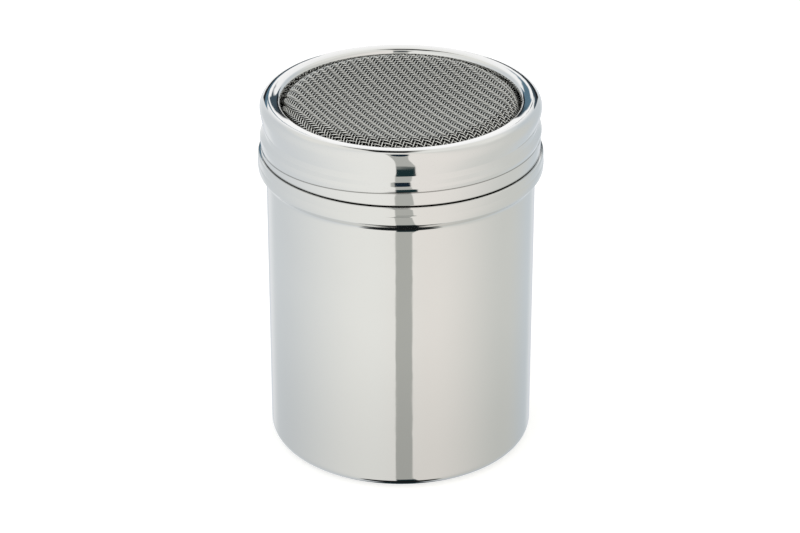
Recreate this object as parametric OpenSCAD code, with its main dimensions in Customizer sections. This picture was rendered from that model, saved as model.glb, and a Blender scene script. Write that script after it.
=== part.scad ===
// Sugar shaker: a drawn steel cup with a rolled screw neck, and a screw lid
// that clamps a dished wire screen. Millimetres, Z up, table at Z = 0, the
// front toward -Y. Fits are worked out from the sizes below.

/* [Cup] */
// Outside diameter of the cup
body_d = 70; // [60:1:90]
// Height of the bead's upper face above the table
bead_z = 82.4; // [60:0.1:130]
// Thickness of the cup's sheet
cup_t = 0.6; // [0.4:0.05:0.8]
// Outside radius of the corner round the base
base_r = 2.5; // [1.5:0.1:5]
// Depth of the recess under the base
kick = 0.8; // [0.3:0.1:1.5]
// Width of the flat foot round that recess
foot_w = 5; // [3:0.5:10]

/* [Bead] */
// How far the bead stands out from the cup
bead_out = 2.2; // [1.8:0.1:3]
// Height of the bead's upright band
bead_band = 4.25; // [2:0.25:6]
// Height of the curve from the cup out to the band
bead_flare = 4; // [3.9:0.1:7]
// Radius of the bead's upper edge
bead_edge = 0.6; // [0.6:0.05:1.1]

/* [Neck] */
// Height of the neck above the bead
neck_h = 9.6; // [9.1:0.1:10.8]
// Step from the cup's wall in to the neck
neck_in = 0.5; // [0.3:0.05:1]
// Radius of the fillet at the foot of the neck
neck_fillet = 0.5; // [0.2:0.05:0.8]
// Rise of the lid in one turn
lead = 3.2; // [3:0.1:3.6]
// Turns that the rolled ridge makes round the neck
neck_turns = 1.05; // [0.7:0.05:1.15]
// Height of the rolled ridge
ridge_h = 0.8; // [0.6:0.05:0.9]
// Width of the rolled ridge
ridge_w = 1.8; // [1.4:0.1:1.9]
// Height of the ridge's middle at the front, above the lid's lower edge
ridge_up = 4.7; // [4.2:0.1:4.9]

/* [Lid] */
// Thickness of the lid's sheet
lid_t = 0.5; // [0.4:0.05:0.6]
// Height of the lid from its lower edge to the top of its rim
lid_h = 14.25; // [14:0.25:18]
// Height of the plain hem round the lower edge
hem_h = 1.8; // [1.4:0.1:2.2]
// Height of the curve from the hem in to the thread
hem_run = 1.5; // [1.4:0.1:2]
// Height of the top of the thread above the lower edge
thread_top = 7.2; // [6.8:0.1:7.8]
// Height of the curve from the thread out to the bulge
bulge_run = 3; // [2.4:0.1:3.4]
// How far the upper bulge stands out from the hem
bulge_out = 0.1; // [0:0.05:0.5]
// Radius of the rounded rim
rim_r = 1.45; // [1.2:0.05:1.8]
// Width of the land from the rim to the hole's rounded edge
land_w = 2.65; // [1.5:0.05:3.5]
// Fall of the land toward the hole, in degrees
land_fall = 4.7; // [0:0.1:8]
// Radius of the hole's rounded edge
lip_r = 0.9; // [0.8:0.05:1.2]

/* [Screen] */
// Thickness of the wire cloth
mesh_t = 0.6; // [0.4:0.05:0.8]
// Radius of the shoulder round the cloth
shoulder_r = 4.3; // [4:0.1:4.6]
// How far the middle of the cloth is dished below its shoulder
sag = 1.5; // [0.5:0.1:2.5]
// Pitch of the openings that stand for the weave
net_pitch = 2.7; // [2.65:0.05:4]
// Width of one opening
net_gap = 1.8; // [1:0.1:2.2]
// Turn of the weave about the axis, in degrees
net_turn = -18.5; // [-45:0.5:45]

/* [Ring] */
// Thickness of the ring that clamps the cloth
ring_t = 0.8; // [0.5:0.05:0.9]
// Width of that ring
ring_w = 4; // [3:0.1:4.5]

/* [Hidden] */
$fn = 96;
// gaps of the fits: lid on bead, thread, hem, thread root, neck rim, cloth, ring and hole
seat_gap = 0.3;
run_gap = 0.45;
hem_gap = 0.5;
root_gap = 0.6;
rim_gap = 0.35;
stack_gap = 0.25;
ring_gap = 0.45;
gutter = 0.7;
// room at each side of the neck's ridge in the lid's groove
flank_gap = 0.55;
// ledge of the bead that shows outside the lid, at the least
ledge = 0.7;
// least inside radius of a bend
bend = 0.15;
// cup
body_r = body_d / 2;
neck_r = body_r - neck_in;
ridge_r = neck_r + ridge_h;
bead_r = max(body_r + bead_out, ridge_r + hem_gap + lid_t + ledge);
bead_step = bead_r - body_r;
flare_a = 2 * atan(bead_step / bead_flare);
flare_sum = bead_flare / sin(flare_a);
flare_out = 0.69 * flare_sum;
flare_in = 0.31 * flare_sum;
edge_r = max(bead_edge, cup_t + bend);
neck_z = bead_z + neck_h;
kick_r = body_r - base_r - foot_w;
kick_run = 2 * kick + cup_t;
// lid, from the neck outward
lid_z = bead_z + seat_gap;
valley_in = neck_r + run_gap;
hem_in = ridge_r + hem_gap;
groove_in = ridge_r + root_gap;
valley_r = valley_in + lid_t;
hem_r = hem_in + lid_t;
bulge_r = hem_r + bulge_out;
groove_w = ridge_w + 2 * flank_gap;
crest_z = lid_z + lid_h;
hole_r = bulge_r - rim_r - land_w - lip_r;
fall_z = land_w * tan(land_fall) + (rim_r - lip_r) * (1 / cos(land_fall) - 1);
lip_z = crest_z - fall_z - lip_r;
// screen and ring, upward from the neck's rim
ring_z = neck_z + rim_gap;
ring_r = bulge_r - lid_t - ring_gap;
flange_z = ring_z + ring_t + stack_gap;
flange_top = flange_z + mesh_t;
mesh_r = hole_r - gutter;
dish_r = mesh_r - shoulder_r;
dish_a = 2 * atan(sag / dish_r);
dish_big = (dish_r - shoulder_r * sin(dish_a)) / sin(dish_a);
mid_z = crest_z - (shoulder_r + dish_big) * (1 - cos(dish_a));
shoulder_end = asin((flange_top - crest_z + shoulder_r) / shoulder_r);
net_r = dish_r - net_pitch / 2;
net_n = ceil(net_r / net_pitch);
// thread: degrees from the front, counted to the right as seen from the front
front_z = lid_z + ridge_up;
full_turn = 360;
neck_start = -150;
groove_end = 301;
run_out = 40;
neck_run_out = 24;
step = 6;
// the groove stays open until the ridge's upper edge is this far below the top of the hem's curve
fade_drop = 0.3;
groove_start = full_turn * (hem_h + hem_run - fade_drop - ridge_up - ridge_w / 2) / lead - run_out;
// how far a wave starts inside its sheet, and how deep its back lies there
embed = cup_t / 5;
root = lid_t * 0.6;
// how far a cutting shape stands past what it cuts
past = 1;
// points closer than this are one point
same = 0.001;
waves = [-1, -0.67, -0.33, 0, 0.33, 0.67, 1];

function arc(r, z, rad, a0, a1, n = 8) =
    [for (i = [0:n]) let (a = a0 + (a1 - a0) * i / n) [r + rad * cos(a), z + rad * sin(a)]];

// smooth change of radius from r0 at z0 to r1 at z1
function ease(r0, z0, r1, z1, n = 10) =
    [for (i = [0:n]) [r0 + (r1 - r0) * (1 - cos(180 * i / n)) / 2, z0 + (z1 - z0) * i / n]];

// smooth change of height between two radii
function level(r0, z0, r1, z1, n = 6) =
    [for (i = [1:n]) [r0 + (r1 - r0) * i / n, z0 + (z1 - z0) * (1 - cos(180 * i / n)) / 2]];

function unit(v) = v / norm(v);
function left(v) = [-v[1], v[0]];
function edge(p, i) = left(unit(p[i + 1] - p[i]));

// the same line, t to its left
function beside(p, t) =
    let (n = len(p) - 1)
    [for (i = [0:n])
        let (a = edge(p, max(i - 1, 0)), b = edge(p, min(i, n - 1)))
        p[i] + t * (a + b) / (1 + a * b)];

// a line without points that lie on each other
function spaced(p) = [for (i = [0:len(p) - 1]) if (i == 0 || norm(p[i] - p[max(i - 1, 0)]) > same) p[i]];

function turned(p) = [for (i = [len(p) - 1:-1:0]) p[i]];

// sheet of thickness t whose outside follows a line
module sheet(line, t) {
    rotate_extrude() polygon(concat(line, turned(beside(line, t))));
}

// share of full height at one angle, easing in over `run` degrees at each end
function taper(a, a0, a1, run) =
    let (k = min(1, min(a - a0, a1 - a) / run)) (1 - cos(180 * max(k, 0))) / 2;

// helical wave of height h and width w on radius r, with its back at radius back
module wave(r, h, w, back, a0, a1, run) {
    n = round((a1 - a0) / step);
    m = len(waves) + 2;
    ring = [for (i = [0:n])
        let (a = a0 + (a1 - a0) * i / n, z = front_z + lead * a / full_turn, k = taper(a, a0, a1, run))
        let (out = [for (s = waves) [r - embed + (h + embed) * k * (1 + cos(180 * s)) / 2, z + s * w / 2]])
        let (all = concat(out, [[back, z + w / 2], [back, z - w / 2]]))
        for (q = all) [q[0] * cos(a - 90), q[0] * sin(a - 90), q[1]]];
    sides = [for (i = [0:n - 1], j = [0:m - 1])
        let (p = i * m + j, q = i * m + (j + 1) % m)
        for (f = [[p, q, q + m], [p, q + m, p + m]]) f];
    polyhedron(ring, concat(sides, [[for (j = [m - 1:-1:0]) j], [for (j = [0:m - 1]) n * m + j]]));
}

// outside of the cup, from the middle of its base up to the neck's rim
cup_line = spaced(concat(
    [[0, kick], [kick_r - kick_run, kick]],
    level(kick_r - kick_run, kick, kick_r, 0),
    arc(body_r - base_r, base_r, base_r, -90, 0, 10),
    arc(body_r + flare_in, bead_z - bead_band - bead_flare, flare_in, 180, 180 - flare_a, 8),
    arc(bead_r - flare_out, bead_z - bead_band, flare_out, -flare_a, 0, 12),
    arc(bead_r - edge_r, bead_z - edge_r, edge_r, 0, 90, 6),
    arc(neck_r + neck_fillet, bead_z + neck_fillet, neck_fillet, -90, -180, 6),
    [[neck_r, neck_z]]));

// outside of the lid, from its lower edge over the rim and down into the hole
lid_line = spaced(concat(
    [[hem_r, lid_z]],
    ease(hem_r, lid_z + hem_h, valley_r, lid_z + hem_h + hem_run),
    ease(valley_r, lid_z + thread_top, bulge_r, lid_z + thread_top + bulge_run, 14),
    arc(bulge_r - rim_r, crest_z - rim_r, rim_r, 0, 90 + land_fall, 12),
    arc(hole_r + lip_r, lip_z, lip_r, 90 + land_fall, 180, 8),
    [[hole_r, flange_top]]));
lid_inside = beside(lid_line, lid_t);

// top of the cloth, from the middle out to the edge of its flange
screen_line = concat(
    [for (i = [0:12]) let (a = dish_a * i / 12)
        [dish_big * sin(a), mid_z + dish_big * (1 - cos(a))]],
    [for (i = [1:12]) let (a = 90 + dish_a + (shoulder_end - 90 - dish_a) * i / 12)
        [dish_r + shoulder_r * cos(a), crest_z - shoulder_r + shoulder_r * sin(a)]],
    [[ring_r, flange_top]]);

module neck_wave(r, back) {
    wave(r, ridge_h, ridge_w, back, neck_start, neck_start + full_turn * neck_turns, neck_run_out);
}

module lid_wave(r, back) {
    wave(r, groove_in - valley_in, groove_w, back, groove_start, groove_end, run_out);
}

module cup_body() color([0.80, 0.80, 0.81]) difference() {
    union() {
        sheet(cup_line, cup_t);
        neck_wave(neck_r, neck_r - root);
    }
    neck_wave(neck_r - cup_t, neck_r - cup_t - past);
}

module lid_shell() color([0.82, 0.82, 0.83]) difference() {
    union() {
        rotate_extrude() polygon(concat(lid_line,
            [[hole_r, flange_top - past], [hole_r - past, flange_top - past], [hole_r - past, lid_z]]));
        lid_wave(valley_r, valley_r - root);
    }
    rotate_extrude() polygon(concat([[hem_in, lid_z - past]], lid_inside,
        [[hole_r - 2 * past, flange_top], [hole_r - 2 * past, lid_z - past]]));
    lid_wave(valley_in, valley_in - past);
}

module mesh_screen() color([0.55, 0.55, 0.56]) difference() {
    sheet(screen_line, -mesh_t);
    translate([0, 0, flange_z]) rotate(net_turn) linear_extrude(crest_z)
        for (i = [-net_n:net_n], j = [-net_n:net_n])
            if (norm([i, j]) * net_pitch < net_r)
                translate([i, j] * net_pitch) square(net_gap, center = true);
}

module mesh_ring() color([0.70, 0.70, 0.72]) translate([0, 0, ring_z]) difference() {
    cylinder(h = ring_t, r = ring_r);
    translate([0, 0, -past]) cylinder(h = ring_t + 2 * past, r = ring_r - ring_w);
}

cup_body();
lid_shell();
mesh_screen();
mesh_ring();
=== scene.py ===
import bisect
import bpy
import math
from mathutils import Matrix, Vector


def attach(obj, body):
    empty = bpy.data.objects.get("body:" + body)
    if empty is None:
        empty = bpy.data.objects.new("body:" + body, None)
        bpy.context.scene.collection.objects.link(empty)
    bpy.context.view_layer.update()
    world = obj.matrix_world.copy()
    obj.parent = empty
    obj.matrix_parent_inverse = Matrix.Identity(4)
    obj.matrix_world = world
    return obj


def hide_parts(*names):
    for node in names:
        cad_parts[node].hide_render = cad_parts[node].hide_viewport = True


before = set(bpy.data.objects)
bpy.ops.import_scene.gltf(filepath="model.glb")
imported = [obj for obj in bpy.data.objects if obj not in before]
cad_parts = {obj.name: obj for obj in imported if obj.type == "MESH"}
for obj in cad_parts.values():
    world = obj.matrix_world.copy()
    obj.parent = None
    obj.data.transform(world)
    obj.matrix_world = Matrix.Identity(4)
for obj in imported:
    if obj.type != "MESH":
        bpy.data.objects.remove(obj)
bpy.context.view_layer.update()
print("frame loaded, nodes:", sorted(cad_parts))

mm = 0.001  # sizes below are in millimetres, angles in degrees
tiny = 1e-6  # anything shorter counts as nothing


# lines of a turned section, each point (radius, height)

def arcLine(r, z, rad, start, end, step=6.0, least=4):
    count = max(least, math.ceil(abs(end - start) / step))
    points = []
    for i in range(count + 1):
        a = math.radians(start + (end - start) * i / count)
        points.append((r + rad * math.cos(a), z + rad * math.sin(a)))
    return points


def easeRadius(r0, z0, r1, z1, count):
    points = []
    for i in range(count + 1):
        share = (1 - math.cos(math.pi * i / count)) / 2
        points.append((r0 + (r1 - r0) * share, z0 + (z1 - z0) * i / count))
    return points


def easeHeight(r0, z0, r1, z1, count):
    return [(r, z) for z, r in easeRadius(z0, r0, z1, r1, count)]


def slopeLine(r0, z0, r1, z1, bend, count=8):
    # upright, a tight bend, a straight slope, and a tight bend back to upright
    height = z1 - z0
    step = abs(r1 - r0)
    side = 1 if r1 > r0 else -1
    straight = math.sqrt(height ** 2 + (2 * bend - step) ** 2 - (2 * bend) ** 2)
    tilt = math.atan2(height, 2 * bend - step) - math.atan2(straight, 2 * bend)
    angles = [tilt * i / count for i in range(count + 1)]
    low = [(r0 + side * bend * (1 - math.cos(a)), z0 + bend * math.sin(a)) for a in angles]
    high = [(r1 - side * bend * (1 - math.cos(a)), z1 - bend * math.sin(a)) for a in angles]
    return low + high[::-1]


def fineLine(points, longest, guard=0.12):
    # splits long stretches, with a close point by each end so that mirror shading stays true
    line = [points[0]]
    for p, q in zip(points, points[1:]):
        run = math.dist(p, q)
        if run < tiny:
            continue
        shares = [1.0]
        if run > longest:
            near = guard / run
            count = math.ceil(run / longest)
            shares = [near + (1 - 2 * near) * i / count for i in range(count + 1)] + [1.0]
        for s in shares:
            line.append((p[0] + (q[0] - p[0]) * s, p[1] + (q[1] - p[1]) * s))
    return line


def besideLine(line, gap):
    # the same line, gap to the left of its direction
    normals = []
    for p, q in zip(line, line[1:]):
        run = math.dist(p, q)
        normals.append(((p[1] - q[1]) / run, (q[0] - p[0]) / run))
    moved = []
    for p, a, b in zip(line, normals[:1] + normals, normals + normals[-1:]):
        k = gap / (1 + a[0] * b[0] + a[1] * b[1])
        moved.append((p[0] + k * (a[0] + b[0]), p[1] + k * (a[1] + b[1])))
    return moved


# soft shapes of a value: a step up, a round hump, and a line through given points

def softStep(value, low, high):
    k = min(1.0, max(0.0, (value - low) / (high - low)))
    return k * k * (3 - 2 * k)


def hump(off):
    # 1 in the middle, 0 from off = 1 outward
    return (1 + math.cos(math.pi * off)) / 2 if off < 1 else 0.0


def lineThrough(value, marks, moves):
    for low, high, a, b in zip(marks, marks[1:], moves, moves[1:]):
        if value <= high:
            return a + (b - a) * (value - low) / (high - low)
    return moves[-1]


# meshes

def meshPiece(name, verts, faces):
    mesh = bpy.data.meshes.new(name)
    mesh.from_pydata(verts, [], faces)
    piece = bpy.data.objects.new(name, mesh)
    bpy.context.scene.collection.objects.link(piece)
    return piece


def steelPiece(name, verts, faces, paintedShades):
    # smooth mesh with a share of painted shade at each point, which the finish reads
    piece = meshPiece(name, verts, faces)
    piece.data.attributes.new("paintedShade", "FLOAT", "POINT").data.foreach_set("value", paintedShades)
    piece.data.shade_smooth()
    return piece


def turnedPiece(name, section, around, shape, seam):
    # closed section of (radius, height, inside, painted shade) turned about Z
    # a point on the axis becomes one vertex, and inside faces take the second finish
    # shape bends a point by its angle, which runs up to the seam and on from seam - 360
    verts = []
    paintedShades = []
    rings = []
    for r, z, inside, paintedShade in section:
        if r < tiny:
            rings.append([len(verts)] * around)
            verts.append((0, 0, z * mm))
            paintedShades.append(paintedShade)
            continue
        rings.append([len(verts) + k for k in range(around)])
        for k in range(around):
            turn = 360 * k / around
            rk, zk = shape(r, z, inside, turn if turn <= seam else turn - 360)
            a = math.radians(turn - 90)
            verts.append((rk * math.cos(a) * mm, rk * math.sin(a) * mm, zk * mm))
            paintedShades.append(paintedShade)
    pairs = list(zip(rings, rings[1:], section))
    if section[0][0] > tiny:
        pairs.append((rings[-1], rings[0], section[-1]))
    faces = []
    finishes = []
    for low, high, (r, z, inside, paintedShade) in pairs:
        for k in range(around):
            n = (k + 1) % around
            face = list(dict.fromkeys((low[k], low[n], high[n], high[k])))  # three corners by the axis
            if len(face) > 2:
                faces.append(face)
                finishes.append(1 if inside else 0)
    piece = steelPiece(name, verts, faces, paintedShades)
    piece.data.polygons.foreach_set("material_index", finishes)
    return piece


# node helpers for the finishes and the room

def feed(tree, socket, value):
    if isinstance(value, bpy.types.NodeSocket):
        tree.links.new(value, socket)
    else:
        socket.default_value = value


def calc(tree, how, *values):
    node = tree.nodes.new("ShaderNodeMath")
    node.operation = how
    for socket, value in zip(node.inputs, values):
        feed(tree, socket, value)
    return node.outputs[0]


def times(tree, mask, *others):
    for other in others:
        mask = calc(tree, "MULTIPLY", mask, other)
    return mask


def mixColour(tree, share, below, above):
    node = tree.nodes.new("ShaderNodeMix")
    node.data_type = "RGBA"
    feed(tree, node.inputs[0], share)
    for socket, colour in ((node.inputs[6], below), (node.inputs[7], above)):  # its two colour sockets
        feed(tree, socket, colour if isinstance(colour, bpy.types.NodeSocket) else (*colour, 1))
    return node.outputs[2]


def ease(tree, value, low, high, start=0.0, end=1.0):
    node = tree.nodes.new("ShaderNodeMapRange")
    node.interpolation_type = "SMOOTHSTEP"
    for socket, part in zip(node.inputs, (value, low, high, start, end)):
        feed(tree, socket, part)
    return node.outputs[0]


def within(tree, value, low, high, soft):
    up = ease(tree, value, low - soft, low + soft)
    down = ease(tree, value, high - soft, high + soft, 1.0, 0.0)
    return times(tree, up, down)


def ramp(tree, value, stops):
    node = tree.nodes.new("ShaderNodeValToRGB")
    node.color_ramp.interpolation = "EASE"
    points = node.color_ramp.elements
    while len(points) < len(stops):
        points.new(1.0)
    for point, (at, colour) in zip(points, stops):
        point.position = at
        point.color = (*colour, 1)
    feed(tree, node.inputs[0], value)
    return node.outputs[0]


def noise(tree, scale, detail, where):
    node = tree.nodes.new("ShaderNodeTexNoise")
    node.inputs["Scale"].default_value = scale
    node.inputs["Detail"].default_value = detail
    tree.links.new(where, node.inputs["Vector"])
    return node.outputs["Fac"]


def bumpOf(tree, height, depth, strength=1.0):
    node = tree.nodes.new("ShaderNodeBump")
    node.inputs["Strength"].default_value = strength
    node.inputs["Distance"].default_value = depth * mm
    feed(tree, node.inputs["Height"], height)
    return node


def placeOn(tree, stretch=(1, 1, 1)):
    # place on the piece in metres, stretched where a texture should run round the axis
    node = tree.nodes.new("ShaderNodeMapping")
    node.inputs["Scale"].default_value = stretch
    tree.links.new(tree.nodes.new("ShaderNodeTexCoord").outputs["Object"], node.inputs["Vector"])
    return node.outputs["Vector"]


# steel finish: in a look, cloud, lines and wave are noise scales to the metre

polish = dict(
    cloudDetail=3.0, cloudSpan=(0.3, 0.7),
    lineDetail=2.0, lineStretch=(0.02, 0.02, 1),
    waveDetail=1.0, waveStretch=(1, 1, 2),
)


def dimmed(colour, share):
    return tuple(c * share for c in colour)


def steelFinish(name, look):
    mat = bpy.data.materials.new(name)
    mat.use_nodes = True
    tree = mat.node_tree
    steel = tree.nodes["Principled BSDF"]
    steel.inputs["Metallic"].default_value = 1.0
    # cloudy polish: slightly uneven colour and gloss
    cloud = noise(tree, look["cloud"], polish["cloudDetail"], placeOn(tree))
    colour = mixColour(tree, cloud, look["colour"], dimmed(look["colour"], look["uneven"]))
    # painted shade: darker towards the foot, standing in for the floor's shadow mirrored in the steel
    if "footZ" in look:  # darker towards the foot
        split = tree.nodes.new("ShaderNodeSeparateXYZ")
        tree.links.new(placeOn(tree), split.inputs[0])
        low = ease(tree, split.outputs["Z"], look["footZ"] * mm, 0.0)
        colour = mixColour(tree, low, colour, dimmed(look["colour"], look["footPaintedShade"]))
    # painted shade: the mesh's share darkens the colour in the fold, on the ledge and on the wires
    if "paintedShade" in look:
        mark = tree.nodes.new("ShaderNodeAttribute")
        mark.attribute_name = "paintedShade"
        colour = mixColour(tree, mark.outputs["Fac"], colour, look["paintedShade"])
    feed(tree, steel.inputs["Base Color"], colour)
    gloss = ease(tree, cloud, *polish["cloudSpan"], look["rough"], look["dull"])
    feed(tree, steel.inputs["Roughness"], gloss)
    # fine lines left by turning and buffing, over slow waves in the sheet
    lines = noise(tree, look["lines"], polish["lineDetail"], placeOn(tree, polish["lineStretch"]))
    scratch = bumpOf(tree, lines, look["depth"], look["cut"])
    if "wave" in look:
        waves = noise(tree, look["wave"], polish["waveDetail"], placeOn(tree, polish["waveStretch"]))
        feed(tree, scratch.inputs["Normal"], bumpOf(tree, waves, look["waveDeep"]).outputs[0])
    feed(tree, steel.inputs["Normal"], scratch.outputs[0])
    return mat


# screw thread of neck and lid: frontZ is its height at the front, where the angle is 0
# angles grow to the right

thread = dict(frontZ=87.4, lead=3.2)


# cup: drawn body, stop bead and rolled neck, one sheet

cup = dict(
    bodyR=35.0, sheet=0.6, baseR=3.2, kick=0.8, footW=5.0,  # kick is the recess under the base
    beadZ=82.4, bandR=37.08, edgeR=0.45, scoreZ=80.2, scoreDeep=0.04, scoreW=0.5,
    beadR=37.15, barrelR=7.7, barrelTop=6.0, barrelLow=10.5, turnR=0.7, flareR=2.6, flareA=45.0,
    neckR=34.5, neckFillet=0.5, neckZ=92.0,
    ridge=dict(height=0.8, width=1.8, start=-105.0, end=200.0, runOut=24.0),  # thread on the neck
    # the next line places the painted shade on the ledge under the lid's edge, by radius and by heights
    # from beadZ
    shadeR=(36.35, 36.6), shadeLow=(-0.2, -0.1), shadeHigh=(0.6, 1.2),  # heights from beadZ
    around=256, seam=220.0, longest=3.0, neckStep=0.2,  # fineness of the mesh
    look=dict(colour=(0.77, 0.77, 0.76), uneven=0.97, rough=0.03, dull=0.07, cloud=60.0,
              lines=2500.0, cut=0.15, depth=0.02, wave=110.0, waveDeep=0.025,
              # in the look, the foot values paint shade near the foot, and the last colour is the
              # painted shade on the ledge
              footZ=55.0, footPaintedShade=0.85, paintedShade=(0.03, 0.028, 0.025)),
    # inside: its dark colour is painted shade of the closed interior seen through the screen, over a
    # duller finish
    insideLook=dict(colour=(0.30, 0.30, 0.29), uneven=0.8, rough=0.3, dull=0.45, cloud=90.0,
                    lines=2500.0, cut=0.3, depth=0.02),
)


def cupBase(c):
    # recess under the base, flat foot ring and round corner
    kickR = c["bodyR"] - c["baseR"] - c["footW"]
    kickIn = kickR - 2 * c["kick"] - c["sheet"]
    return (
        [(0, c["kick"])]
        + easeHeight(kickIn, c["kick"], kickR, 0, count=12)
        + arcLine(c["bodyR"] - c["baseR"], c["baseR"], c["baseR"], -90, 0)
    )


def cupBead(c):
    # hollow curve, straight slope, tight turn, barrel-shaped bead with a scored line, and round edge
    tilt = math.radians(c["flareA"])
    lean = math.radians(c["barrelLow"])
    scoreLow = c["scoreZ"] - c["scoreW"] / 2
    scoreTop = c["scoreZ"] + c["scoreW"] / 2
    scoreR = c["bandR"] - c["scoreDeep"]
    barrelAt = c["beadR"] - c["barrelR"]
    barrelZ = scoreLow - c["barrelR"] * math.sin(math.radians(c["barrelTop"]))
    inward = c["barrelR"] - c["turnR"]
    turnAt = barrelAt + inward * math.cos(lean)
    turnZ = barrelZ - inward * math.sin(lean)
    reach = turnAt + c["turnR"] * math.cos(tilt) - c["bodyR"] - c["flareR"] * (1 - math.cos(tilt))
    flareZ = turnZ - (c["flareR"] + c["turnR"]) * math.sin(tilt) - reach / math.tan(tilt)
    return (
        arcLine(c["bodyR"] + c["flareR"], flareZ, c["flareR"], 180, 180 - c["flareA"], step=3)
        + arcLine(turnAt, turnZ, c["turnR"], -c["flareA"], -c["barrelLow"], step=5)
        + arcLine(barrelAt, barrelZ, c["barrelR"], -c["barrelLow"], c["barrelTop"], step=1)[1:]
        + easeRadius(c["bandR"], scoreLow, scoreR, c["scoreZ"], count=5)
        + easeRadius(scoreR, c["scoreZ"], c["bandR"], scoreTop, count=5)[1:]
        + arcLine(c["bandR"] - c["edgeR"], c["beadZ"] - c["edgeR"], c["edgeR"], 0, 90, step=7)
    )


def ledgePaintedShade(r, z, c):
    # painted shade: a dark line on the ledge, under the lid's edge
    up = z - c["beadZ"]
    band = softStep(up, *c["shadeLow"]) * (1 - softStep(up, *c["shadeHigh"]))
    return band * (1 - softStep(r, *c["shadeR"]))


def cupSection(c):
    filletAt = (c["neckR"] + c["neckFillet"], c["beadZ"] + c["neckFillet"])
    low = cupBase(c) + cupBead(c) + arcLine(*filletAt, c["neckFillet"], -90, -180, step=9)
    neck = [low[-1], (c["neckR"], c["neckZ"])]
    outside = fineLine(low, c["longest"]) + fineLine(neck, c["neckStep"])[1:]
    inside = besideLine(outside, c["sheet"])[::-1]
    return (
        [(r, z, False, ledgePaintedShade(r, z, c)) for r, z in outside]
        + [(r, z, True, 0.0) for r, z in inside]
    )


def neckThread(r, z, inside, angle):
    w = cup["ridge"]
    if not w["start"] < angle < w["end"]:
        return r, z
    off = abs(z - thread["frontZ"] - thread["lead"] * angle / 360) / (w["width"] / 2)
    fade = softStep(min(angle - w["start"], w["end"] - angle), 0, w["runOut"])
    return r + w["height"] * fade * hump(off), z


cupShell = turnedPiece("cupShell", cupSection(cup), cup["around"], neckThread, cup["seam"])
cupShell.data.materials.append(steelFinish("cupSteel", cup["look"]))
cupShell.data.materials.append(steelFinish("cupInside", cup["insideLook"]))
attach(cupShell, "cup")
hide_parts("cup_body")
print("cup turned,", len(cupShell.data.polygons), "faces")


# lid: pressed cap with a rolled thread, a rounded rim and a turned-down hole edge

lid = dict(
    sheet=0.5, lowZ=82.64, footR=0.15, hemR=36.32, hemLean=6.0, hemEdge=0.15,
    creaseZ=86.2, creaseR=35.6, creaseOpen=10.0, creaseHalf=0.5, dip=0.7, dipW=1.4,
    # the last value of the next line places the fold's painted shade by radius
    underR=36.1, underZ=86.3, underA=19.7, underBend=0.5, shadeR=(35.9, 36.15),  # under the ridge
    ridgeR=36.45, flankLow=87.75, flankTop=89.05, flankBend=0.4,
    valleyR=35.55, slopeZ=90.35, slopeBend=0.3, slopeLow=16.0, slopeTop=10.5, slopeR=34.3, swellR=4.7,
    rimR=2.4, crestZ=96.95, landTop=6.0, landFall=12.0, holeR=31.0, lipR=1.4, holeLow=94.0,
    around=320, seam=240.0, wrapFrom=200.0, longest=0.6, guard=0.05,
    fadeIn=(-115.0, -86.0), fadeOut=(185.0, 215.0), fadeBelow=0.8, fadeAbove=0.1,  # ends of the thread
    creaseFall=0.031, creaseRise=0.003, creaseCorner=4.0, dropMost=2.7,  # fall and rise to the degree
    climbMost=1.0, climbTo=0.1, settle=3.2, settleBack=1.4, backTurn=(55.0, 115.0),
    # the last colour of the look is the painted shade in the fold
    look=dict(colour=(0.78, 0.78, 0.775), uneven=0.98, rough=0.03, dull=0.06, cloud=80.0,
              lines=2500.0, cut=0.1, depth=0.02, wave=130.0, waveDeep=0.08,
              paintedShade=(0.1, 0.09, 0.08)),
)


def hemLine(d):
    # plain hem, a little barrel shaped, with a rounded foot, and its tight upper edge as a second line
    lean = math.radians(d["hemLean"])
    fall = (d["hemR"] - d["creaseR"]) * math.tan(math.radians(d["creaseOpen"]))
    footZ = d["lowZ"] + d["footR"]
    edgeZ = d["creaseZ"] - d["hemEdge"] - fall
    barrel = ((edgeZ - footZ) / math.sin(lean) + d["hemEdge"] + d["footR"]) / 2
    middle = d["hemR"] - barrel
    footAt = middle + (barrel - d["footR"]) * math.cos(lean)
    edgeAt = middle + (barrel - d["hemEdge"]) * math.cos(lean)
    barrelZ = footZ + (barrel - d["footR"]) * math.sin(lean)
    hem = (
        arcLine(footAt, footZ, d["footR"], -90, -d["hemLean"], step=15)
        + arcLine(middle, barrelZ, barrel, -d["hemLean"], d["hemLean"], step=1)[1:]
    )
    edge = arcLine(edgeAt, edgeZ, d["hemEdge"], d["hemLean"], 90 - d["creaseOpen"], step=12)
    return hem, edge[1:]


def creaseLine(d):
    # sharp fold above the hem, then the sloping underside of the thread's ridge
    lean = math.radians(d["underA"])
    bendAt = d["ridgeR"] - d["underBend"]
    top = bendAt + d["underBend"] * math.cos(lean)
    topZ = d["underZ"] + (top - d["underR"]) / math.tan(lean)
    bendZ = topZ + d["underBend"] * math.sin(lean)
    return (
        [(d["creaseR"], d["creaseZ"]), (d["underR"], d["underZ"])]
        + arcLine(bendAt, bendZ, d["underBend"], -d["underA"], 0, step=4)
    )


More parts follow.
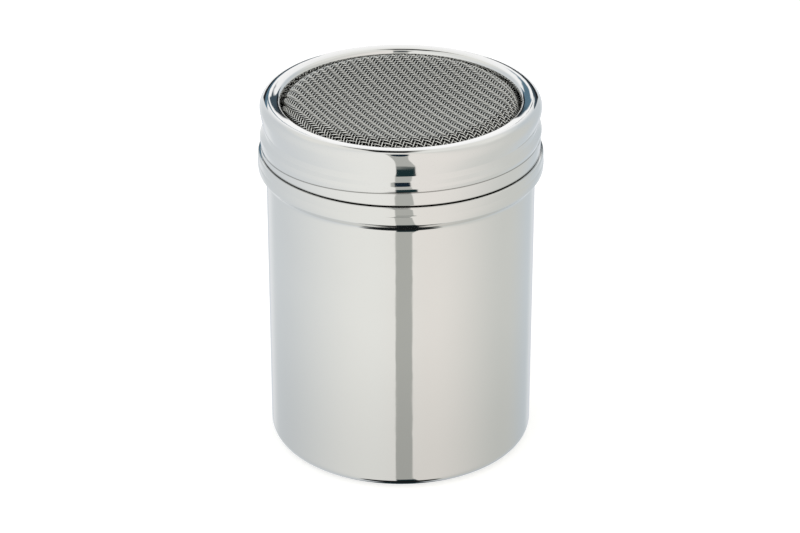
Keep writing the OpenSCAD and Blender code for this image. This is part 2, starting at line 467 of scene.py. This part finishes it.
def skirtLine(d):
    # the ridge's flank down to the valley, a tight hollow bend, and two flat arcs to the widest place
    low, top = math.radians(d["slopeLow"]), math.radians(d["slopeTop"])
    flank = slopeLine(d["ridgeR"], d["flankLow"], d["valleyR"], d["flankTop"], d["flankBend"])
    bend = arcLine(d["valleyR"] + d["slopeBend"], d["slopeZ"], d["slopeBend"], 180, 180 - d["slopeLow"])
    slopeAt = (bend[-1][0] - d["slopeR"] * math.cos(low), bend[-1][1] + d["slopeR"] * math.sin(low))
    slope = arcLine(*slopeAt, d["slopeR"], -d["slopeLow"], -d["slopeTop"], step=0.5)
    swellAt = (slope[-1][0] - d["swellR"] * math.cos(top), slope[-1][1] + d["swellR"] * math.sin(top))
    swell = arcLine(*swellAt, d["swellR"], -d["slopeTop"], 0, step=1)
    return flank + bend + slope[1:] + swell[1:]


def rimLine(d, outerR):
    # round rim, then the land as one flat arc, dished a little, to the rounded edge of the hole
    top, fall = math.radians(d["landTop"]), math.radians(d["landFall"])
    rimAt = (outerR - d["rimR"], d["crestZ"] - d["rimR"])
    landFrom = (rimAt[0] - d["rimR"] * math.sin(top), rimAt[1] + d["rimR"] * math.cos(top))
    landTo = d["holeR"] + d["lipR"] * (1 - math.sin(fall))
    landR = (landFrom[0] - landTo) / (math.sin(fall) - math.sin(top))
    landAt = (landFrom[0] + landR * math.sin(top), landFrom[1] - landR * math.cos(top))
    lipAt = (d["holeR"] + d["lipR"], landAt[1] + (landR - d["lipR"]) * math.cos(fall))
    return (
        arcLine(*rimAt, d["rimR"], 0, 90 + d["landTop"], step=4)
        + arcLine(*landAt, landR, 90 + d["landTop"], 90 + d["landFall"], step=0.7)[1:]
        + arcLine(*lipAt, d["lipR"], 90 + d["landFall"], 180, step=5)[1:]
        + [(d["holeR"], d["holeLow"])]
    )


def foldPaintedShade(r, z, d):
    # painted shade: a dark line in the fold
    near = abs(z - d["creaseZ"]) < d["creaseHalf"]
    return 1 - softStep(r, *d["shadeR"]) if near else 0.0


def creaseDip(z, d):
    return d["dip"] * hump(abs(z - d["creaseZ"]) / d["dipW"])


def lidSection(d):
    hem, edge = hemLine(d)
    skirt = skirtLine(d)
    upper = skirt + rimLine(d, skirt[-1][0])
    outside = fineLine(hem + edge + creaseLine(d) + upper, d["longest"], d["guard"])
    # the inner face skips the fold and dips behind it instead
    plain = fineLine(hem[:-1] + upper, d["longest"], d["guard"])
    inside = besideLine(plain, d["sheet"])[::-1]
    return (
        [(r, z, False, foldPaintedShade(r, z, d)) for r, z in outside]
        + [(r - creaseDip(z, d), z, True, 0.0) for r, z in inside]
    )


def lidThread(r, z, inside, angle):
    d = lid
    # wrap takes the thread back down, to meet itself at the seam
    wrap = softStep(angle, d["wrapFrom"], d["seam"])
    # the slope above the thread settles lower at the back, clear of the ring
    back = softStep(angle, *d["backTurn"]) * (1 - wrap)
    settled = d["slopeZ"] + d["settle"] - d["settleBack"] * back
    if not d["lowZ"] < z < settled:
        return r, z
    # the ridge and its crease fade out at both ends of the thread
    fade = softStep(angle, *d["fadeIn"]) * (1 - softStep(angle, *d["fadeOut"]))
    if d["creaseZ"] - d["fadeBelow"] < z < d["flankTop"] + d["fadeAbove"]:
        plain = d["hemR"] + (d["valleyR"] - d["hemR"]) * softStep(z, d["creaseZ"], d["flankTop"])
        plain -= d["sheet"] if inside else 0.0
        r = plain + (r - plain) * fade
    # the thread climbs with its lead, the crease drops away to the left
    climb = thread["lead"] / 360 * (angle - 360 * wrap)
    corner = d["creaseCorner"] * math.log(1 + math.exp(-angle / d["creaseCorner"]))
    drop = max(-d["creaseFall"] * corner, -d["dropMost"]) - d["dropMost"] * wrap
    drop += d["creaseRise"] * max(angle, 0) * (1 - wrap)
    low, high = d["creaseZ"] - d["creaseHalf"], d["creaseZ"] + d["creaseHalf"]
    marks = [d["lowZ"], low, high, d["flankLow"], d["slopeZ"] + d["climbTo"], settled]
    moves = [0.0, drop, drop, climb, min(climb, d["climbMost"]), 0.0]
    return r, z + lineThrough(z, marks, moves)


lidShell = turnedPiece("lidShell", lidSection(lid), lid["around"], lidThread, lid["seam"])
lidSteel = steelFinish("lidSteel", lid["look"])
lidShell.data.materials.append(lidSteel)
lidShell.data.materials.append(lidSteel)  # inside as well
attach(lidShell, "lid")
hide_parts("lid_shell")
print("lid turned,", len(lidShell.data.polygons), "faces")


# screen: twill wire cloth, each wire a tube bent over the dish, shoulder and flange

screen = dict(
    pitch=0.84, wireR=0.15, turn=-18.4, sides=6, steps=2, trim=0.05, longest=1.0,
    midZ=95.45, dishR=26.4, dishA=6.5, dishBig=228.8, shoulderR=4.3, shoulderEnd=18.3,
    flangeZ=94.0, edgeR=33.6,
    # the next line places the wires' painted shade: on their lower sides, where they dive under, and in
    # the dip by the hole's edge, less at the back
    litTop=0.75, shadeSpan=1.3, dive=0.42, moat=(29.6, 30.6), backShadeSpan=(0.0, 20.0), backShadeCut=0.75,
    # the last colour of the look is the wires' painted shade
    look=dict(colour=(0.96, 0.96, 0.93), uneven=0.88, rough=0.06, dull=0.14, cloud=900.0,
              lines=4000.0, cut=0.2, depth=0.01, paintedShade=(0.02, 0.02, 0.018)),
)


def clothLine(s):
    # middle of the cloth, from the centre out, one wire's thickness below its top
    dish = arcLine(0, s["midZ"] + s["dishBig"], s["dishBig"], -90, -90 + s["dishA"], step=0.5)
    shoulderZ = s["flangeZ"] - s["shoulderR"] * math.sin(math.radians(s["shoulderEnd"]))
    shoulder = arcLine(s["dishR"], shoulderZ, s["shoulderR"], 90 + s["dishA"], s["shoulderEnd"], step=4)
    top = fineLine(dish[:-1] + shoulder + [(s["edgeR"], s["flangeZ"])], s["longest"])
    line = besideLine(top, -2 * s["wireR"])
    return [(0.0, line[0][1])] + line[1:]


def clothPlaces(s):
    # (distance along the cloth, radius, height, normal) for each point of its line
    line = clothLine(s)
    places = []
    gone = 0.0
    for before, p, after in zip(line[:1] + line, line, line[1:] + line[-1:]):
        gone += math.dist(before, p)
        run = math.dist(before, after)
        normal = ((before[1] - after[1]) / run, (after[0] - before[0]) / run)
        places.append((gone, *p, *normal))
    return places


def onCloth(u, v, places):
    # flat point of the cloth to its place and normal on the pressed screen
    rho = math.hypot(u, v)
    high = bisect.bisect_right(places, rho, key=lambda place: place[0])
    a, b = places[high - 1], places[high]
    k = (rho - a[0]) / (b[0] - a[0])
    r, z, nr, nz = (a[n] + (b[n] - a[n]) * k for n in (1, 2, 3, 4))
    cu, cv = u / rho, v / rho
    return Vector((r * cu, r * cv, z)), Vector((nr * cu, nr * cv, nz)).normalized()


def passOver(i, j, cross):
    # 2/2 twill: over two and under two, one step along from the wire beside it
    if cross:
        return -1.0 if (j - i - 1) % 4 < 2 else 1.0
    return 1.0 if (i + j) % 4 < 2 else -1.0


def wireSpine(i, s, places, cross):
    # wire i as points of (place, normal, lift), with lift 1 where it goes over and -1 under
    # cross is False for wires along the turn and True for those square to it
    along = math.radians(s["turn"] + (90 if cross else 0))
    du, dv = math.cos(along), math.sin(along)
    reach = places[-1][0] - s["trim"]
    off = (i + 0.5) * s["pitch"]
    if abs(off) >= reach:
        return []
    end = math.sqrt(reach ** 2 - off ** 2) / s["pitch"] * s["steps"]
    spine = []
    for t in range(math.ceil(-end), math.floor(end) + 1):
        at = t / s["steps"]
        j = math.floor(at)
        lift = passOver(i, j, cross)
        if at == j:
            lift = (lift + passOver(i, j - 1, cross)) / 2
        dist = at * s["pitch"]
        p, n = onCloth(dist * du - off * dv, dist * dv + off * du, places)
        spine.append((p + n * lift * s["wireR"], n, lift))
    return spine


def wirePaintedShade(p, lift, up, s):
    # painted shade darkens a wire's lower sides, where it dives under another, and the dip by the
    # hole's edge, less of it at the back
    flank = softStep(s["litTop"] - up, 0, s["shadeSpan"])
    dive = s["dive"] * (1 - lift)
    moat = softStep(math.hypot(p.x, p.y), *s["moat"])
    moat *= 1 - s["backShadeCut"] * softStep(p.y, *s["backShadeSpan"])
    return max(flank, dive, moat)


def wireFamily(name, s, places, cross):
    # all wires of one direction, each a tube with closed ends
    sides = s["sides"]
    half = math.ceil(places[-1][0] / s["pitch"])
    verts = []
    paintedShades = []
    faces = []
    for i in range(-half, half):
        spine = wireSpine(i, s, places, cross)
        if len(spine) < 3:
            continue
        base = len(verts)
        for k, (p, n, lift) in enumerate(spine):
            ahead = spine[min(k + 1, len(spine) - 1)][0] - spine[max(k - 1, 0)][0]
            side = n.cross(ahead).normalized()
            up = ahead.cross(side).normalized()
            for q in range(sides):
                a = 2 * math.pi * q / sides
                verts.append((p + (side * math.cos(a) + up * math.sin(a)) * s["wireR"]) * mm)
                paintedShades.append(wirePaintedShade(p, lift, math.sin(a), s))
        for a in range(base, len(verts) - sides, sides):
            for q in range(sides):
                w = (q + 1) % sides
                faces.append((a + q, a + w, a + sides + w, a + sides + q))
        faces.append(list(range(base, base + sides))[::-1])
        faces.append(list(range(len(verts) - sides, len(verts))))
    return steelPiece(name, verts, faces, paintedShades)


wireSteel = steelFinish("wireSteel", screen["look"])
screenPlaces = clothPlaces(screen)
for wireName, isCross in (("screenWarp", False), ("screenWeft", True)):
    wires = wireFamily(wireName, screen, screenPlaces, isCross)
    wires.data.materials.append(wireSteel)
    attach(wires, "lid")
    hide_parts("mesh_screen")
    print(wireName, "woven,", len(wires.data.polygons), "faces")


# ring under the cloth keeps its solid

ring = dict(
    look=dict(colour=(0.62, 0.62, 0.61), uneven=0.9, rough=0.2, dull=0.35, cloud=120.0,
              lines=3000.0, cut=0.3, depth=0.02),
)
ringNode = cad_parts["mesh_ring"]
ringNode.data.materials.clear()
ringNode.data.materials.append(steelFinish("ringSteel", ring["look"]))
print("ring finished")


# stage: white paper floor, which only the camera sees as pure white, with a soft shadow left in it

stage = dict(floorHalf=4000.0, paper=(0.82, 0.82, 0.82), rough=0.9, lift=0.5)


def paperFloor(d):
    half = d["floorHalf"] * mm
    corners = [(-half, -half, 0), (half, -half, 0), (half, half, 0), (-half, half, 0)]
    floor = meshPiece("floor", corners, [(0, 1, 2, 3)])
    floor.visible_glossy = False  # the steel sees the room below instead, which is as white
    mat = bpy.data.materials.new("paper")
    mat.use_nodes = True
    tree = mat.node_tree
    paper = tree.nodes["Principled BSDF"]
    paper.inputs["Base Color"].default_value = (*d["paper"], 1)
    paper.inputs["Roughness"].default_value = d["rough"]
    paper.inputs["Specular IOR Level"].default_value = 0.0
    paper.inputs["Emission Color"].default_value = (1, 1, 1, 1)
    eye = tree.nodes.new("ShaderNodeLightPath").outputs["Is Camera Ray"]
    feed(tree, paper.inputs["Emission Strength"], times(tree, eye, d["lift"]))
    floor.data.materials.append(mat)


paperFloor(stage)
print("floor laid")


# room that the steel mirrors: white tent with a slit for the camera
# turn is 0 at the front and grows to the right, away is its size without the sign
# rise is 0 at the horizon, aside is the angle to the right of the middle plane
# pitch is 0 at the front, 90 overhead and -90 below

room = dict(
    backdrop=(1.15, 1.15, 1.15),
    walls=dict(  # each (turn, colour)
        coolLeft=(-136.8, (0.73, 0.765, 0.79)), front=(-25.2, (0.985, 0.985, 0.95)),
        warmRight=(25.2, (0.955, 0.92, 0.875)), dimRight=(104.4, (0.72, 0.73, 0.70)),
        coolRight=(144.0, (0.66, 0.71, 0.745)),
    ),
    backFloor=dict(away=(148.0, 176.0), rise=(-6.0, -14.0), colour=(0.60, 0.64, 0.70)),
    ceiling=dict(away=(60.0, 120.0), rise=(32.0, 52.0), colour=(0.93, 0.93, 0.89)),
    flags=dict(
        away=(140.0, 150.0), inner=1.5, outer=24.0, outerSoft=1.0, low=5.0, mid=23.3, soft=0.4,
        lean=0.27, wing=3.6, slant=1.35, slantSoft=1.5,
        left=dict(side=-1.0, top=36.0, colour=(0.12, 0.21, 0.28)),
        right=dict(side=1.0, top=31.0, colour=(0.06, 0.09, 0.115)),
        footRise=(20.0, 15.0), foot=(0.02, 0.022, 0.025),
    ),
    gap=dict(aside=(-9.5, 3.5), pitch=(97.0, 129.0), soft=2.0, colour=(0.006, 0.007, 0.008)),
    shade=dict(away=(120.0, 140.0), rise=(-42.0, -50.0), aside=(-7.0, 7.0), soft=2.5,
               colour=(0.014, 0.034, 0.038)),
    slit=dict(half=6.3, at=1.3, lean=0.04, soft=0.5, top=(82.0, 76.0), bottom=(-95.0, -85.0),
              colour=(0.51, 0.515, 0.485), deepRise=(-46.0, -49.0), deep=(0.014, 0.034, 0.038)),
    lens=dict(at=64.0, high=13.0, wide=5.2, soft=0.1, colour=(0.010, 0.021, 0.035)),
    pit=dict(at=-80.0, high=16.0, wide=19.0, soft=0.2, colour=(0.012, 0.014, 0.015)),
)


def roomAngles(tree):
    split = tree.nodes.new("ShaderNodeSeparateXYZ")
    tree.links.new(tree.nodes.new("ShaderNodeTexCoord").outputs["Generated"], split.inputs[0])
    x, y, z = split.outputs
    front = calc(tree, "MULTIPLY", y, -1.0)
    turn = calc(tree, "DEGREES", calc(tree, "ARCTAN2", x, front))
    return dict(
        turn=turn,
        away=calc(tree, "ABSOLUTE", turn),
        rise=calc(tree, "DEGREES", calc(tree, "ARCSINE", z)),
        aside=calc(tree, "DEGREES", calc(tree, "ARCSINE", x)),
        pitch=calc(tree, "DEGREES", calc(tree, "ARCTAN2", z, front)),
    )


def paintWalls(tree, way, d):
    stops = [(-180.0, d["backdrop"]), *d["walls"].values(), (180.0, d["backdrop"])]
    around = calc(tree, "MULTIPLY_ADD", way["turn"], 1 / 360, 0.5)
    walls = ramp(tree, around, [(turn / 360 + 0.5, colour) for turn, colour in stops])
    # behind the object the floor is dimmer than the backdrop, and the ceiling a little dimmer
    for part in (d["backFloor"], d["ceiling"]):
        behind = ease(tree, way["away"], *part["away"])
        mask = times(tree, behind, ease(tree, way["rise"], *part["rise"]))
        walls = mixColour(tree, mask, walls, part["colour"])
    return walls


def paintFlag(tree, way, walls, d, flag):
    # blue flag behind: below mid its inner edge leans outward, above mid its top slants down outward
    rise = way["rise"]
    out = calc(tree, "MULTIPLY", way["aside"], flag["side"])
    soft = d["soft"]
    leaning = calc(tree, "MULTIPLY_ADD", rise, d["lean"], out)
    edge = d["inner"] + d["lean"] * d["mid"]
    low = times(
        tree,
        ease(tree, leaning, edge - soft, edge + soft),
        within(tree, rise, d["low"], d["mid"], soft),
    )
    slanting = calc(tree, "MULTIPLY_ADD", out, d["slant"], rise)
    wing = times(
        tree,
        ease(tree, slanting, flag["top"] + d["slantSoft"], flag["top"] - d["slantSoft"]),
        ease(tree, rise, d["mid"] - soft, d["mid"] + soft),
        ease(tree, out, d["wing"] - soft, d["wing"] + soft),
    )
    mask = times(
        tree,
        calc(tree, "ADD", low, wing),
        ease(tree, way["away"], *d["away"]),
        ease(tree, out, d["outer"] + d["outerSoft"], d["outer"] - d["outerSoft"]),
    )
    tone = mixColour(tree, ease(tree, rise, *d["footRise"]), flag["colour"], d["foot"])
    return mixColour(tree, mask, walls, tone)


def paintGap(tree, way, walls, d):
    # dark gap overhead at the back
    across = within(tree, way["aside"], *d["aside"], d["soft"])
    over = within(tree, way["pitch"], *d["pitch"], d["soft"])
    return mixColour(tree, times(tree, across, over), walls, d["colour"])


def paintShade(tree, way, walls, d):
    # shade on the floor close behind the object
    across = within(tree, way["aside"], *d["aside"], d["soft"])
    mask = times(tree, ease(tree, way["away"], *d["away"]), ease(tree, way["rise"], *d["rise"]), across)
    return mixColour(tree, mask, walls, d["colour"])


def paintSlit(tree, way, walls, d):
    # camera slit, grey in the middle and dark below
    across = calc(tree, "SUBTRACT", way["aside"], d["at"])
    leaning = calc(tree, "MULTIPLY_ADD", way["rise"], d["lean"], across)
    mask = times(
        tree,
        within(tree, leaning, -d["half"], d["half"], d["soft"]),
        ease(tree, way["pitch"], *d["top"]),
        ease(tree, way["pitch"], *d["bottom"]),
    )
    tone = mixColour(tree, ease(tree, way["rise"], *d["deepRise"]), d["colour"], d["deep"])
    return mixColour(tree, mask, walls, tone)


def paintOval(tree, way, walls, d):
    wide = calc(tree, "DIVIDE", way["aside"], d["wide"])
    high = calc(tree, "DIVIDE", calc(tree, "SUBTRACT", way["pitch"], d["at"]), d["high"])
    reach = calc(tree, "MULTIPLY_ADD", wide, wide, calc(tree, "MULTIPLY", high, high))
    return mixColour(tree, ease(tree, reach, 1 + d["soft"], 1 - d["soft"]), walls, d["colour"])


def paintRoom(d):
    world = bpy.data.worlds.new("tent")
    bpy.context.scene.world = world
    world.use_nodes = True
    tree = world.node_tree
    way = roomAngles(tree)
    walls = paintWalls(tree, way, d)
    for flag in (d["flags"]["left"], d["flags"]["right"]):
        walls = paintFlag(tree, way, walls, d["flags"], flag)
    walls = paintGap(tree, way, walls, d["gap"])
    walls = paintShade(tree, way, walls, d["shade"])
    walls = paintSlit(tree, way, walls, d["slit"])
    walls = paintOval(tree, way, walls, d["lens"])  # dark round the lens, above
    walls = paintOval(tree, way, walls, d["pit"])  # dark patch just in front of the foot
    eye = tree.nodes.new("ShaderNodeLightPath").outputs["Is Camera Ray"]
    seen = mixColour(tree, eye, walls, (1, 1, 1))  # the camera itself sees plain white
    feed(tree, tree.nodes["Background"].inputs["Color"], seen)


paintRoom(room)
print("room painted")


# camera, fitted to the photograph's 800 x 533 frame

view = dict(
    focalPx=2704.0, framePx=800.0, sensor=36.0,
    back=640.5, up=372.6, aside=-0.2, pitch=26.91,
)
camData = bpy.data.cameras.new("camera")
camData.sensor_width = view["sensor"]
camData.lens = view["focalPx"] * view["sensor"] / view["framePx"]
camera = bpy.data.objects.new("camera", camData)
camera.location = (view["aside"] * mm, -view["back"] * mm, view["up"] * mm)
camera.rotation_euler = (math.radians(90 - view["pitch"]), 0, 0)
bpy.context.scene.collection.objects.link(camera)
bpy.context.scene.camera = camera

bpy.context.scene.view_settings.view_transform = "Standard"
